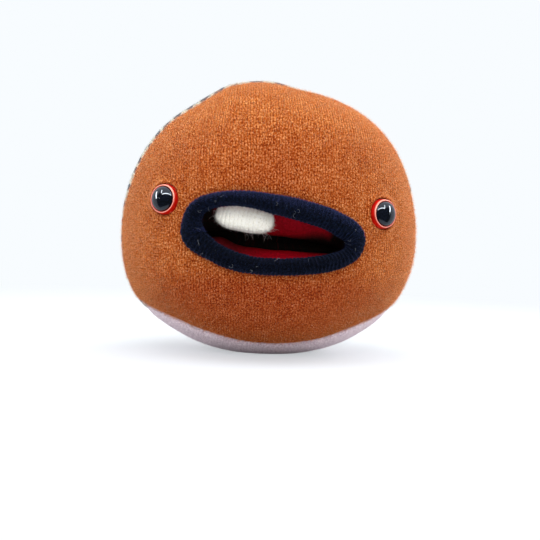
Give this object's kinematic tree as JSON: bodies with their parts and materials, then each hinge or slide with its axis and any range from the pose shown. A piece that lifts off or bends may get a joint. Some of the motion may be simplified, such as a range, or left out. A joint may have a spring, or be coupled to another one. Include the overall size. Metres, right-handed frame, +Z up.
{
  "type": "stuffed monster toy",
  "caption": "Round felted-wool stuffed monster with domed eyes on the sides of its face and a wide padded mouth, lined as a pocket, with a stuffed tooth hanging in it.",
  "frame": {"origin": "on the floor, at the middle of the flat underside, below the middle of the body's widest level", "axes": "+Z up, the face looks along -Y, and +X is on the right of someone who looks at the face"},
  "size_m": [0.15, 0.1244, 0.137],
  "materials": {
    "face_wool": "matte",
    "back_knit": "matte",
    "base_knit": "matte",
    "stuffing": "matte",
    "lip_knit": "matte",
    "lining_knit": "matte",
    "tooth_knit": "matte",
    "eye_black": "gloss",
    "eye_red": "gloss",
    "washer_white": "matte"
  },
  "bodies": {
    "monster": {"face_panel": "face_wool", "back_panel": "back_knit", "base_panel": "base_knit", "fibre_fill": "stuffing", "mouth_lip": "lip_knit", "lip_filler": "stuffing", "mouth_lining_upper": "lining_knit", "mouth_lining_lower": "lining_knit"},
    "tooth": {"tooth_cover": "tooth_knit", "tooth_fill": "stuffing"},
    "left_eye": {"eye_dome_left": "eye_black", "eye_cup_left": "eye_red", "eye_washer_left": "washer_white"},
    "right_eye": {"eye_dome_right": "eye_black", "eye_cup_right": "eye_red", "eye_washer_right": "washer_white"}
  },
  "joints": [
    {"name": "tooth_flap", "type": "hinge", "parent": "monster", "child": "tooth", "pos_m": [-0.0145, -0.04935, 0.0739], "axis": [-0.9796, 0.1571, 0.1253], "range_deg": [-24, 16]},
    {"name": "left_eye_turn", "type": "hinge", "parent": "monster", "child": "left_eye", "pos_m": [-0.052, -0.04165, 0.0749], "axis": [-0.5517, -0.8296, 0.0858], "continuous": true},
    {"name": "right_eye_turn", "type": "hinge", "parent": "monster", "child": "right_eye", "pos_m": [0.0504, -0.04345, 0.0717], "axis": [0.5231, -0.8506, 0.0523], "continuous": true}
  ]
}
